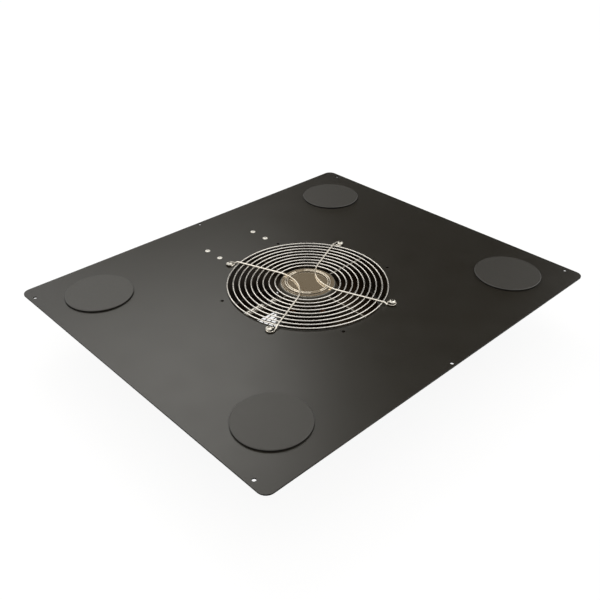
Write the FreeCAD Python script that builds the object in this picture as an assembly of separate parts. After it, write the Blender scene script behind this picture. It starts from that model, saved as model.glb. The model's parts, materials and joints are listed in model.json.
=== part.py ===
"""Rack top fan panel: a flat steel rack top that carries a round axial fan, its guards and its wiring box.

Millimetres. X runs along the panel's long side and Y along its short side. +Z is up, and Z = 0 is the
panel's underside, which lies on the rack. The fan's axis is the Z axis, and it blows upwards.
"""
import FreeCAD
import Part
import math
import os

Vector = FreeCAD.Vector
UP = Vector(0, 0, 1)

# ---------------------------------------------------------------- driving dimensions
PANEL_LENGTH = 663.6
PANEL_WIDTH = 558.8
PANEL_THICKNESS = 2.0
PANEL_CORNER_RADIUS = 13.0
PANEL_TOP = PANEL_THICKNESS

RACK_HOLE_DIAMETER = 5.5
RACK_CORNER_X = 323.0
RACK_CORNER_Y = 251.0
RACK_SIDE_Y = 273.5
SEAT_BAND = 28.0

FAN_OPENING_DIAMETER = 248.0
FAN_BOLT_CIRCLE = 272.0
FAN_BOLT_COUNT = 8
FAN_BOLT_FIRST_ANGLE = 22.5
FAN_BOLT_HOLE_DIAMETER = 5.2
GUARD_SCREW_ANGLES = [22.5, 112.5, 202.5, 292.5]

CABLE_HOLE_X = 247.3
CABLE_HOLE_Y = 194.8
CABLE_HOLE_DIAMETER = 92.0
PLUG_FLANGE_DIAMETER = 102.0
PLUG_FLANGE_THICKNESS = 3.0
PLUG_SKIRT_DEPTH = 11.0

FAN_DEPTH = 89.0
FAN_BORE_RADIUS = 124.5
FAN_WALL = 4.0
FLANGE_RADIUS = 135.0
FLANGE_THICKNESS = 4.0
FLANGE_LUG_RADIUS = 8.5
INLET_RADIUS = 7.0

STRUT_ANGLES = [0.0, 90.0, 180.0, 270.0]
STRUT_TOP = -1.0
STRUT_DEPTH = 16.0
LEAD_RADIUS = 0.85
LEAD_Y = [4.2, 7.6]
LEAD_DRIFT = 1.6
LEAD_WALL_HEIGHT = -5.6
LEAD_TROUGH_HEIGHT = -2.2
LEAD_DIP_HEIGHT = -8.0
LEAD_BEND_RADIUS = 2.6
LEAD_TROUGH_Y = [1.9, 11.2]
LEAD_TROUGH_X = [-118.0, -86.0]
LEAD_TROUGH_LIP = 0.8
LEAD_SADDLE_X = [-70.0, -60.0]
LEAD_BOSS_REACH = FLANGE_RADIUS + 1.0
LEAD_BUSHING_RADIUS = 3.2
HUB_RADIUS = 46.0
HUB_TOP = -3.0
HUB_BOTTOM = -20.0
MOTOR_CAP_RADIUS = 42.5
MOTOR_CAP_TOP = 4.8

BEARING_RADIUS = 11.0
BEARING_WIDTH = 7.0
SHAFT_RADIUS = 4.0
RUNNING_CLEARANCE = 0.03
TUBE_RADIUS = 14.5
TUBE_BOTTOM = -68.0
UPPER_BEARING_TOP = -6.0
LOWER_BEARING_TOP = -60.0

STATOR_RADIUS = 38.0
STATOR_TOP = -34.0
STATOR_BOTTOM = -62.0
STATOR_TEETH = 8
AIR_GAP = 0.4

ROTOR_RADIUS = 47.5
ROTOR_WALL = 1.5
ROTOR_TOP = -23.5
ROTOR_BOTTOM = -80.0
BLADE_COUNT = 5
BLADE_TIP_RADIUS = 122.5
BLADE_REST_ANGLE = 42.0
BAND_RADIUS = ROTOR_RADIUS + 1.8
BLADE_MIDDLE_Z = -53.2
# radius, chord, pitch from the plane of rotation, lead angle
BLADE_STATIONS = [
    (40.0, 85.1, 38.6, 0.0),
    (70.0, 118.5, 21.2, -0.8),
    (98.0, 159.5, 15.2, 2.1),
    (127.0, 167.9, 15.7, 6.6),
]
BLADE_CAMBER = 0.06
BLADE_THICKNESS = 2.2
BLADE_EDGE = 1.0

RING_WIRE_RADIUS = 1.0
SUPPORT_WIRE_RADIUS = 1.15
GUARD_RING_INNER = 50.1
GUARD_RING_PITCH = 9.14
GUARD_RING_COUNT = 9
GUARD_CENTRE_RINGS = [31.4, 34.3]
GUARD_RING_HEIGHT = 2.7
GUARD_CENTRE_RING_HEIGHT = 4.15
GUARD_WELD_SINK = 0.3
SUPPORT_HALF_ANGLE = 47.0
SUPPORT_VERTEX = 5.0
SUPPORT_BEND_RADIUS = 60.0
SUPPORT_FIRST_BISECTOR = 157.5
FOOT_BEND_RADIUS = 3.0
LANDING_RADIUS = 2.5
EYE_RADIUS = 6.13
EYE_TURN = 300.0
EYE_LEAD_IN = 4.5
FOOT_REACH = 9.5

SCREW_RADIUS = 2.4
PAN_HEAD_RADIUS = 4.8
PAN_HEAD_HEIGHT = 3.2
NUT_ACROSS_FLATS = 8.0
NUT_HEIGHT = 4.0

BOX_LENGTH = 116.0
BOX_FRONT_Y = 147.0
BOX_BACK_Y = 195.0
BOX_DEPTH = 44.0
BOX_SHEET = 1.2
BOX_SCREW_X = 49.0
BOX_SCREW_Y = [155.0, 187.0]
BOX_HOLE_RADIUS = 1.7
CORD_BORE_RADIUS = 4.5
CORD_BUSHING_X = 28.0
BOX_MIDDLE_Z = -22.0
BUSHING_STEM_RADIUS = 6.2
BUSHING_COLLAR_RADIUS = 8.2
COVER_SCREW_Y = BOX_FRONT_Y + 10.0
COVER_SCREW_Z = -BOX_DEPTH + 6.0
CAPACITOR_RADIUS = 13.0
CAPACITOR_START_X = -44.0
CAPACITOR_LENGTH = 50.0
CAPACITOR_Y = 169.0
CAPACITOR_Z = -24.0


# ---------------------------------------------------------------- building blocks
def polar(radius, angle, height=0.0):
    """A point at an angle in degrees around the fan's axis."""
    turn = math.radians(angle)
    return Vector(radius * math.cos(turn), radius * math.sin(turn), height)


def turned(shape, angle):
    """A copy turned about the fan's axis."""
    copy = shape.copy()
    copy.rotate(Vector(0, 0, 0), UP, angle)
    return copy


def round_bar(radius, bottom, top, centre=Vector(0, 0, 0)):
    """An upright cylinder."""
    return Part.makeCylinder(radius, top - bottom, Vector(centre.x, centre.y, bottom))


def ring(inner, outer, bottom, top, centre=Vector(0, 0, 0)):
    """An upright tube."""
    return round_bar(outer, bottom, top, centre).cut(round_bar(inner, bottom, top, centre))


def block(x_low, x_high, y_low, y_high, z_low, z_high):
    """A box between two corners."""
    return Part.makeBox(x_high - x_low, y_high - y_low, z_high - z_low, Vector(x_low, y_low, z_low))


def rounded_block(x_low, x_high, y_low, y_high, z_low, z_high, radius):
    """A box with rounded upright edges."""
    body = block(x_low, x_high, y_low, y_high, z_low, z_high)
    upright = [edge for edge in body.Edges if abs(edge.tangentAt(edge.FirstParameter).z) > 0.9]
    return body.makeFillet(radius, upright)


def join(shapes):
    """One solid from overlapping solids."""
    return shapes[0].multiFuse(shapes[1:]).removeSplitter()


def lathe(points):
    """A solid of revolution about the fan's axis from (radius, height) points."""
    corners = [Vector(radius, 0, height) for radius, height in points]
    outline = Part.makePolygon(corners + [corners[0]])
    return Part.Face(outline).revolve(Vector(0, 0, 0), UP, 360)


def hexagon(across_flats, bottom, top, centre):
    """A hexagonal prism."""
    corner = across_flats / math.sqrt(3)
    points = [centre + polar(corner, 60 * side) for side in range(7)]
    outline = Part.makePolygon([Vector(point.x, point.y, bottom) for point in points])
    return Part.Face(outline).extrude(Vector(0, 0, top - bottom))


def bent_run(points, radii):
    """Edges of straight runs joined by tangent arcs of the given radii at the inner points."""
    edges = []
    start = points[0]
    for corner, before, after, radius in zip(points[1:-1], points[:-2], points[2:], radii):
        back = (before - corner).normalize()
        onward = (after - corner).normalize()
        half_angle = back.getAngle(onward) / 2
        setback = radius / math.tan(half_angle)
        arc_start = corner + back * setback
        arc_end = corner + onward * setback
        inward = (back + onward).normalize()
        middle = corner + inward * (radius / math.sin(half_angle) - radius)
        edges.append(Part.makeLine(start, arc_start))
        edges.append(Part.Arc(arc_start, middle, arc_end).toShape())
        start = arc_end
    edges.append(Part.makeLine(start, points[-1]))
    return edges


def wire_solid(edges, radius):
    """A round wire that follows joined edges."""
    path = Part.Wire(edges)
    first = edges[0]
    start = first.valueAt(first.FirstParameter)
    direction = first.tangentAt(first.FirstParameter)
    section = Part.Wire([Part.makeCircle(radius, start, direction)])
    return path.makePipeShell([section], True, False)


def pan_head_screw(centre, seat, length, upward=True):
    """A pan head screw with a cross recess. Its head stands on the seat height."""
    head_profile = [
        (0.0, PAN_HEAD_HEIGHT),
        (PAN_HEAD_RADIUS * 0.55, PAN_HEAD_HEIGHT * 0.96),
        (PAN_HEAD_RADIUS * 0.86, PAN_HEAD_HEIGHT * 0.72),
        (PAN_HEAD_RADIUS, PAN_HEAD_HEIGHT * 0.38),
        (PAN_HEAD_RADIUS, 0.0),
        (0.0, 0.0),
    ]
    head = lathe(head_profile)
    slot_half = PAN_HEAD_RADIUS * 0.55
    slot_side = 0.75
    for half_x, half_y in ((slot_half, slot_side), (slot_side, slot_half)):
        head = head.cut(block(-half_x, half_x, -half_y, half_y, PAN_HEAD_HEIGHT - 1.8, PAN_HEAD_HEIGHT + 1))
    screw = head.fuse(round_bar(SCREW_RADIUS, -length, 0.5)).removeSplitter()
    if not upward:
        screw.rotate(Vector(0, 0, 0), Vector(1, 0, 0), 180)
    screw.translate(Vector(centre.x, centre.y, seat))
    return screw


def guard_nut(centre, bottom):
    """A hexagon nut on a guard screw, its corners chamfered."""
    blank = hexagon(NUT_ACROSS_FLATS, bottom, bottom + NUT_HEIGHT, centre)
    corner = NUT_ACROSS_FLATS / math.sqrt(3)
    cone = Part.makeCone(corner + NUT_HEIGHT - 0.3, corner - 0.3, NUT_HEIGHT, Vector(centre.x, centre.y, bottom))
    hole = round_bar(SCREW_RADIUS + RUNNING_CLEARANCE, bottom - 1, bottom + NUT_HEIGHT + 1, centre)
    return blank.common(cone).cut(hole)


# ---------------------------------------------------------------- panel and plugs
def fan_bolt_points():
    """Centres of the holes on the fan's bolt circle."""
    step = 360.0 / FAN_BOLT_COUNT
    return [polar(FAN_BOLT_CIRCLE / 2, FAN_BOLT_FIRST_ANGLE + step * place) for place in range(FAN_BOLT_COUNT)]


def guard_screw_points():
    """Centres of the bolt circle's holes that hold a screw."""
    return [polar(FAN_BOLT_CIRCLE / 2, angle) for angle in GUARD_SCREW_ANGLES]


def cable_hole_points():
    """Centres of the four cable holes."""
    return {
        "front": Vector(-CABLE_HOLE_X, -CABLE_HOLE_Y, 0),
        "right": Vector(CABLE_HOLE_X, -CABLE_HOLE_Y, 0),
        "back": Vector(CABLE_HOLE_X, CABLE_HOLE_Y, 0),
        "left": Vector(-CABLE_HOLE_X, CABLE_HOLE_Y, 0),
    }


def rack_hole_points():
    """Centres of the screw holes that fix the panel to the rack."""
    corners = [Vector(x, y, 0) for x in (-RACK_CORNER_X, RACK_CORNER_X) for y in (-RACK_CORNER_Y, RACK_CORNER_Y)]
    return corners + [Vector(0, -RACK_SIDE_Y, 0), Vector(0, RACK_SIDE_Y, 0)]


def box_screw_points():
    """Centres of the small screws that hold the wiring box."""
    return [Vector(x, y, 0) for x in (-BOX_SCREW_X, BOX_SCREW_X) for y in BOX_SCREW_Y]


def seat_line():
    """The line on the underside that bounds the border which lies on the rack's rails."""
    half_length = PANEL_LENGTH / 2 - SEAT_BAND
    half_width = PANEL_WIDTH / 2 - SEAT_BAND
    corners = [
        Vector(-half_length, -half_width, 0),
        Vector(half_length, -half_width, 0),
        Vector(half_length, half_width, 0),
        Vector(-half_length, half_width, 0),
    ]
    return Part.makePolygon(corners + [corners[0]])


def top_panel():
    """The flat sheet with all its holes. A split line on its underside marks the seating border."""
    half_length = PANEL_LENGTH / 2
    half_width = PANEL_WIDTH / 2
    sheet = rounded_block(
        -half_length, half_length, -half_width, half_width, 0, PANEL_THICKNESS, PANEL_CORNER_RADIUS
    )
    holes = [round_bar(FAN_OPENING_DIAMETER / 2, -1, PANEL_TOP + 1)]
    for point in fan_bolt_points():
        holes.append(round_bar(FAN_BOLT_HOLE_DIAMETER / 2, -1, PANEL_TOP + 1, point))
    for point in cable_hole_points().values():
        holes.append(round_bar(CABLE_HOLE_DIAMETER / 2, -1, PANEL_TOP + 1, point))
    for point in rack_hole_points():
        holes.append(round_bar(RACK_HOLE_DIAMETER / 2, -1, PANEL_TOP + 1, point))
    for point in box_screw_points():
        holes.append(round_bar(BOX_HOLE_RADIUS, -1, PANEL_TOP + 1, point))
    marked, _ = sheet.cut(Part.makeCompound(holes)).generalFuse([seat_line()])
    return marked.Solids[0]


def cable_hole_plug(centre):
    """A moulded plug: a flat cap with a bevelled edge over a slotted skirt that fits the cable hole."""
    flange = PLUG_FLANGE_DIAMETER / 2
    skirt = CABLE_HOLE_DIAMETER / 2 - 0.7
    bead = CABLE_HOLE_DIAMETER / 2 - 0.3
    skirt_inside = skirt - 2.0
    cap_top = PLUG_FLANGE_THICKNESS
    cap_under = 0.6
    bottom = -PANEL_THICKNESS - PLUG_SKIRT_DEPTH
    body = lathe([
        (0.0, cap_top),
        (flange - 0.8, cap_top),
        (flange, cap_top - 0.8),
        (flange, 0.0),
        (skirt, 0.0),
        (skirt, -PANEL_THICKNESS - 1.5),
        (bead, -PANEL_THICKNESS - 3.0),
        (bead, -PANEL_THICKNESS - 4.0),
        (skirt - 0.4, bottom),
        (skirt_inside, bottom),
        (skirt_inside, cap_under),
        (0.0, cap_under),
    ])
    gusset_corners = [
        Vector(skirt_inside - 4.0, 0, cap_under + 0.3),
        Vector(skirt_inside + 0.5, 0, cap_under + 0.3),
        Vector(skirt_inside + 0.5, 0, bottom + 3.0),
        Vector(skirt_inside - 4.0, 0, -1.5),
    ]
    gusset_face = Part.Face(Part.makePolygon(gusset_corners + [gusset_corners[0]]))
    gusset = gusset_face.extrude(Vector(0, 1.2, 0))
    gusset.translate(Vector(0, -0.6, 0))
    body = join([body] + [turned(gusset, 45.0 * place) for place in range(8)])
    slot = block(skirt_inside - 3.0, flange, -1.5, 1.5, bottom - 1, -PANEL_THICKNESS - 1.0)
    slots = [turned(slot, 22.5 + 45.0 * place) for place in range(8)]
    body = body.cut(Part.makeCompound(slots))
    body.translate(Vector(centre.x, centre.y, PANEL_TOP))
    return body


# ---------------------------------------------------------------- fan housing
def housing_ring():
    """The cast ring: bored wall, rounded air inlet, a flange at each end and upright ribs between them."""
    outer = FAN_BORE_RADIUS + FAN_WALL
    low = -FAN_DEPTH
    inlet_start = low + INLET_RADIUS
    diagonal = INLET_RADIUS * math.sqrt(0.5)
    inlet_centre = Vector(FAN_BORE_RADIUS + INLET_RADIUS, 0, inlet_start)
    fillet = 3.0

    def at(radius, height):
        return Vector(radius, 0, height)

    def corner(start, middle, end):
        return Part.Arc(start, middle, end).toShape()

    soft = fillet * (1 - math.sqrt(0.5))
    top_under = -FLANGE_THICKNESS
    low_over = low + FLANGE_THICKNESS
    edges = [
        Part.makeLine(at(FAN_BORE_RADIUS, 0), at(FLANGE_RADIUS, 0)),
        Part.makeLine(at(FLANGE_RADIUS, 0), at(FLANGE_RADIUS, top_under)),
        Part.makeLine(at(FLANGE_RADIUS, top_under), at(outer + fillet, top_under)),
        corner(
            at(outer + fillet, top_under),
            at(outer + soft, top_under - soft),
            at(outer, top_under - fillet),
        ),
        Part.makeLine(at(outer, top_under - fillet), at(outer, low_over + fillet)),
        corner(
            at(outer, low_over + fillet),
            at(outer + soft, low_over + soft),
            at(outer + fillet, low_over),
        ),
        Part.makeLine(at(outer + fillet, low_over), at(FLANGE_RADIUS, low_over)),
        Part.makeLine(at(FLANGE_RADIUS, low_over), at(FLANGE_RADIUS, low)),
        Part.makeLine(at(FLANGE_RADIUS, low), at(inlet_centre.x, low)),
        corner(
            at(inlet_centre.x, low),
            at(inlet_centre.x - diagonal, inlet_start - diagonal),
            at(FAN_BORE_RADIUS, inlet_start),
        ),
        Part.makeLine(at(FAN_BORE_RADIUS, inlet_start), at(FAN_BORE_RADIUS, 0)),
    ]
    body = Part.Face(Part.Wire(edges)).revolve(Vector(0, 0, 0), UP, 360)
    pieces = [body]
    for point in fan_bolt_points():
        for bottom in (-FLANGE_THICKNESS, -FAN_DEPTH):
            pieces.append(round_bar(FLANGE_LUG_RADIUS, bottom, bottom + FLANGE_THICKNESS, point))
    rib = block(outer - 1.5, outer + 5.0, -1.6, 1.6, low + 2.0, -2.0)
    for place in range(FAN_BOLT_COUNT):
        pieces.append(turned(rib, 45.0 * place))
    boss_y = sum(LEAD_Y) / 2
    pieces.append(
        rounded_block(-LEAD_BOSS_REACH, -outer + 2.0, boss_y - 7.5, boss_y + 7.5, -13.5, -2.0, 1.0)
    )
    body = join(pieces)
    holes = []
    for point in fan_bolt_points():
        holes.append(round_bar(FAN_BOLT_HOLE_DIAMETER / 2, -FAN_DEPTH - 1, 1, point))
    bore = round_bar(FAN_BORE_RADIUS, inlet_start, 1)
    return body.cut(Part.makeCompound(holes)).cut(bore)


def spider_strut():
    """One upright strut, thinner along its top edge, from the hub to the wall."""
    inner = HUB_RADIUS - 3.0
    outer = FAN_BORE_RADIUS + 1.0
    low = STRUT_TOP - STRUT_DEPTH
    section = [
        Vector(inner, -1.1, STRUT_TOP),
        Vector(inner, 1.1, STRUT_TOP),
        Vector(inner, 1.7, low),
        Vector(inner, -1.7, low),
    ]
    face = Part.Face(Part.makePolygon(section + [section[0]]))
    return face.extrude(Vector(outer - inner, 0, 0))


def lead_trough():
    """The shallow trough beside the left strut that carries the motor's leads, and a saddle nearer the hub."""
    low_y, high_y = LEAD_TROUGH_Y
    lip_height = 0.7
    pieces = []
    for start_x, end_x in (LEAD_TROUGH_X, LEAD_SADDLE_X):
        floor_top = LEAD_TROUGH_HEIGHT - LEAD_RADIUS
        floor_low = floor_top - 1.4
        pieces.append(block(start_x, end_x, 0.5, high_y, floor_low, floor_top))
        pieces.append(
            block(start_x, end_x, high_y - LEAD_TROUGH_LIP, high_y, floor_low, floor_top + lip_height)
        )
        pieces.append(
            block(start_x, end_x, 0.5, low_y + LEAD_TROUGH_LIP, floor_low, floor_top + lip_height)
        )
    return pieces


def fan_housing():
    """Ring, struts, hub and bearing tube cast in one piece."""
    hub_wall = 3.5
    plate = 3.5
    pieces = [housing_ring()]
    for angle in STRUT_ANGLES:
        pieces.append(turned(spider_strut(), angle))
    pieces.extend(lead_trough())
    pieces.append(round_bar(HUB_RADIUS, HUB_BOTTOM, HUB_TOP))
    body = join(pieces)
    underside = ring(TUBE_RADIUS + 2.0, HUB_RADIUS - hub_wall, HUB_BOTTOM - 1, UPPER_BEARING_TOP - plate)
    body = body.cut(underside)
    tube = round_bar(TUBE_RADIUS, TUBE_BOTTOM, HUB_TOP - 1)
    body = body.fuse(tube)
    upper_seat = round_bar(BEARING_RADIUS, UPPER_BEARING_TOP - BEARING_WIDTH, HUB_TOP + 1)
    lower_seat = round_bar(BEARING_RADIUS, TUBE_BOTTOM - 1, LOWER_BEARING_TOP)
    through = round_bar(BEARING_RADIUS - 1.5, TUBE_BOTTOM - 1, HUB_TOP + 1)
    lead_slot_y = sum(LEAD_Y) / 2
    lead_slot = block(
        -HUB_RADIUS - 1, -HUB_RADIUS + 8.0, lead_slot_y - 3.0, lead_slot_y + 3.0, -12.0, -3.4
    )
    wall_hole = Part.makeCylinder(
        LEAD_BUSHING_RADIUS, 20.0, Vector(-FAN_BORE_RADIUS + 2.0, lead_slot_y, LEAD_WALL_HEIGHT), Vector(-1, 0, 0)
    )
    cuts = Part.makeCompound([upper_seat, lower_seat])
    return body.cut(cuts).cut(through).cut(lead_slot).cut(wall_hole).removeSplitter()


# ---------------------------------------------------------------- motor
def motor_cap():
    """The thin round cap over the hub, with a rounded shoulder."""
    sheet = 1.0
    shoulder = 1.6
    cap = round_bar(MOTOR_CAP_RADIUS, HUB_TOP, MOTOR_CAP_TOP)
    top_edge = [edge for edge in cap.Edges if abs(edge.BoundBox.ZMin - MOTOR_CAP_TOP) < 1e-6]
    cap = cap.makeFillet(shoulder, top_edge)
    return cap.cut(round_bar(MOTOR_CAP_RADIUS - sheet, HUB_TOP - 1, MOTOR_CAP_TOP - sheet))


def stator_core():
    """The laminated core: a yoke pressed on the bearing tube and teeth with spread tips."""
    yoke_radius = 22.0
    tip_inner = STATOR_RADIUS - 3.5
    tooth_half = 4.5
    pieces = [ring(TUBE_RADIUS, yoke_radius, STATOR_BOTTOM, STATOR_TOP)]
    tips = ring(tip_inner, STATOR_RADIUS, STATOR_BOTTOM, STATOR_TOP)
    gap = block(tip_inner - 1, STATOR_RADIUS + 1, -2.0, 2.0, STATOR_BOTTOM - 1, STATOR_TOP + 1)
    step = 360.0 / STATOR_TEETH
    tooth = block(yoke_radius - 1, tip_inner + 1, -tooth_half, tooth_half, STATOR_BOTTOM, STATOR_TOP)
    for place in range(STATOR_TEETH):
        tips = tips.cut(turned(gap, step * (place + 0.5)))
        pieces.append(turned(tooth, step * place))
    return join(pieces + [tips])


def stator_windings():
    """One coil around each tooth."""
    inner_x = 23.0
    outer_x = 33.5
    tooth_half = 4.9
    coil_half = 8.2
    over = 4.5
    coils = []
    for place in range(STATOR_TEETH):
        outside = block(inner_x, outer_x, -coil_half, coil_half, STATOR_BOTTOM - over, STATOR_TOP + over)
        along = [edge for edge in outside.Edges if abs(edge.tangentAt(edge.FirstParameter).x) > 0.9]
        outside = outside.makeFillet(2.5, along)
        window = block(
            inner_x - 1, outer_x + 1, -tooth_half, tooth_half, STATOR_BOTTOM - 0.4, STATOR_TOP + 0.4
        )
        coils.append(turned(outside.cut(window), 360.0 / STATOR_TEETH * place))
    return Part.makeCompound(coils)


def sealed_bearing(top):
    """A sealed ball bearing: two races with the seals sunk between them."""
    bottom = top - BEARING_WIDTH
    bore = SHAFT_RADIUS + RUNNING_CLEARANCE
    body = ring(bore, BEARING_RADIUS, bottom, top)
    sink = 0.5
    upper_recess = ring(6.2, 9.4, top - sink, top + 1)
    lower_recess = ring(6.2, 9.4, bottom - 1, bottom + sink)
    return body.cut(upper_recess).cut(lower_recess)


def rotor_shaft():
    """The shaft, with a groove for the clip and a chamfered tip."""
    tip = HUB_TOP + 1.6
    clip_top = -4.2
    clip_bottom = -5.0
    groove = SHAFT_RADIUS - 0.6
    return lathe([
        (0.0, tip),
        (SHAFT_RADIUS - 0.7, tip),
        (SHAFT_RADIUS, tip - 0.7),
        (SHAFT_RADIUS, clip_top),
        (groove, clip_top),
        (groove, clip_bottom),
        (SHAFT_RADIUS, clip_bottom),
        (SHAFT_RADIUS, ROTOR_BOTTOM),
        (0.0, ROTOR_BOTTOM),
    ])


def shaft_clip():
    """The open spring clip in the shaft's groove."""
    clip = ring(SHAFT_RADIUS - 0.6, 6.6, -5.0, -4.2)
    return clip.cut(block(0.0, 8.0, -2.4, 2.4, -6.0, -3.0))


def preload_washer():
    """The washer between the clip and the upper bearing's inner race."""
    return ring(SHAFT_RADIUS + 0.1, 6.0, UPPER_BEARING_TOP, -5.0)


def rotor_shell():
    """The drawn steel cup that turns around the stator, its end cooled by slots."""
    inner = ROTOR_RADIUS - ROTOR_WALL
    end = 2.0
    shell = lathe([
        (SHAFT_RADIUS, ROTOR_BOTTOM),
        (ROTOR_RADIUS - 4.0, ROTOR_BOTTOM),
        (ROTOR_RADIUS - 1.2, ROTOR_BOTTOM + 1.2),
        (ROTOR_RADIUS, ROTOR_BOTTOM + 4.0),
        (ROTOR_RADIUS, ROTOR_TOP),
        (inner, ROTOR_TOP),
        (inner, ROTOR_BOTTOM + 4.6),
        (inner - 2.6, ROTOR_BOTTOM + end),
        (9.5, ROTOR_BOTTOM + end),
        (8.0, ROTOR_BOTTOM + 9.0),
        (SHAFT_RADIUS, ROTOR_BOTTOM + 9.0),
    ])
    slots = []
    for place in range(6):
        opening = ring(20.0, 36.0, ROTOR_BOTTOM - 1, ROTOR_BOTTOM + end + 1)
        wedge = block(0.0, 60.0, -4.0, 4.0, ROTOR_BOTTOM - 2, ROTOR_BOTTOM + end + 2)
        slots.append(turned(opening.common(wedge), 60.0 * place + 30.0))
    return shell.cut(Part.makeCompound(slots))


def rotor_cage():
    """The laminated ring of the squirrel cage, with a cast end ring at each end."""
    inner = STATOR_RADIUS + AIR_GAP
    outer = ROTOR_RADIUS - ROTOR_WALL
    end_ring = 4.0
    return lathe([
        (inner, STATOR_BOTTOM),
        (inner, STATOR_TOP),
        (inner + 2.0, STATOR_TOP + end_ring),
        (outer - 1.0, STATOR_TOP + end_ring),
        (outer, STATOR_TOP),
        (outer, STATOR_BOTTOM),
        (outer - 1.0, STATOR_BOTTOM - end_ring),
        (inner + 2.0, STATOR_BOTTOM - end_ring),
    ])


def blade_section(radius, chord, pitch, lead):
    """A closed, thin, cambered section in the plane that stands across the given radius."""
    outward = polar(1.0, lead)
    sideways = polar(1.0, lead + 90)
    slope = math.radians(pitch)
    along = sideways * math.cos(slope) + UP * math.sin(slope)
    across = UP * math.cos(slope) - sideways * math.sin(slope)
    middle = outward * radius + UP * BLADE_MIDDLE_Z

    def at(distance, offset):
        return middle + along * distance + across * offset

    half = chord / 2
    sag = -chord * BLADE_CAMBER
    edge = BLADE_EDGE / 2
    belly = BLADE_THICKNESS / 2
    upper = Part.Arc(at(-half, edge), at(0, sag + belly), at(half, edge)).toShape()
    front = Part.makeLine(at(half, edge), at(half, -edge))
    lower = Part.Arc(at(half, -edge), at(0, sag - belly), at(-half, -edge)).toShape()
    back = Part.makeLine(at(-half, -edge), at(-half, edge))
    return Part.Wire([upper, front, lower, back])


def impeller():
    """Five twisted, swept blades on a band pressed over the rotor shell."""
    band_top = -27.0
    band_bottom = -77.0
    sections = [blade_section(*station) for station in BLADE_STATIONS]
    blade = Part.makeLoft(sections, True, False)
    inner_limit = ROTOR_RADIUS + 0.9
    sweep_room = ring(inner_limit, BLADE_TIP_RADIUS, -95.0, -5.0)
    blade = blade.common(sweep_room)
    pieces = [ring(ROTOR_RADIUS, BAND_RADIUS, band_bottom, band_top)]
    for place in range(BLADE_COUNT):
        pieces.append(turned(blade, 360.0 / BLADE_COUNT * place))
    body = pieces[0].multiFuse(pieces[1:])
    return turned(body, BLADE_REST_ANGLE)


def lead_route(y):
    """Corners of one lead's route: out of the hub, over the saddle, along the trough, down to the wall."""
    trough_outer, trough_inner = LEAD_TROUGH_X
    saddle_outer, saddle_inner = LEAD_SADDLE_X
    aside = y + LEAD_DRIFT
    return [
        Vector(-HUB_RADIUS + 6.0, y, LEAD_DIP_HEIGHT),
        Vector(saddle_inner + 6.5, y, LEAD_DIP_HEIGHT),
        Vector(saddle_inner + 1.0, y, LEAD_TROUGH_HEIGHT),
        Vector(saddle_outer - 1.0, y, LEAD_TROUGH_HEIGHT),
        Vector(saddle_outer - 6.0, y, LEAD_DIP_HEIGHT),
        Vector(trough_inner + 6.0, aside, LEAD_DIP_HEIGHT),
        Vector(trough_inner + 1.0, aside, LEAD_TROUGH_HEIGHT),
        Vector(trough_outer - 1.0, y, LEAD_TROUGH_HEIGHT),
        Vector(trough_outer - 5.0, y, LEAD_WALL_HEIGHT),
        Vector(-LEAD_BOSS_REACH - 3.0, y, LEAD_WALL_HEIGHT),
    ]


def motor_leads():
    """Two insulated leads from the hub along the trough and out through the wall."""
    leads = []
    for y in LEAD_Y:
        corners = lead_route(y)
        edges = bent_run(corners, [LEAD_BEND_RADIUS] * (len(corners) - 2))
        leads.append(wire_solid(edges, LEAD_RADIUS))
    return Part.makeCompound(leads)


def lead_bushing():
    """The rubber bushing in the lead boss of the housing wall."""
    y = sum(LEAD_Y) / 2
    z = LEAD_WALL_HEIGHT
    outward = Vector(-1, 0, 0)
    start = Vector(-FAN_BORE_RADIUS - 1.0, y, z)
    stem = Part.makeCylinder(LEAD_BUSHING_RADIUS, LEAD_BOSS_REACH + start.x, start, outward)
    collar = Part.makeCylinder(LEAD_BUSHING_RADIUS + 1.4, 1.4, Vector(-LEAD_BOSS_REACH, y, z), outward)
    body = stem.fuse(collar).removeSplitter()
    for lead_y in LEAD_Y:
        bore = Part.makeCylinder(LEAD_RADIUS, 20.0, Vector(start.x + 1, lead_y, z), outward)
        body = body.cut(bore)
    return body


# ---------------------------------------------------------------- finger guards
def support_half(bisector, side, vertex):
    """One leg's foot: its bend, its landing on the face, and the eye that curls to the screw's side."""
    forward = polar(1.0, bisector)
    left = polar(1.0, bisector + 90)
    half = math.radians(SUPPORT_HALF_ANGLE)
    leg = forward * math.cos(half) + left * (side * math.sin(half))
    inward = forward * math.sin(half) - left * (side * math.cos(half))
    screw = polar(FAN_BOLT_CIRCLE / 2, bisector + 45.0 * side)
    reach = (screw - vertex).dot(leg)
    bend = vertex + leg * (reach - FOOT_REACH)
    eye_start = vertex + leg * reach
    eye_start.z = SUPPORT_WIRE_RADIUS
    landing = eye_start - leg * EYE_LEAD_IN
    eye_centre = eye_start + inward * EYE_RADIUS

    def around(turn):
        angle = math.radians(turn)
        return eye_centre - inward * (EYE_RADIUS * math.cos(angle)) + leg * (EYE_RADIUS * math.sin(angle))

    eye = Part.Arc(around(EYE_TURN), around(EYE_TURN / 2), around(0.0)).toShape()
    return bend, landing, eye_start, eye


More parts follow.
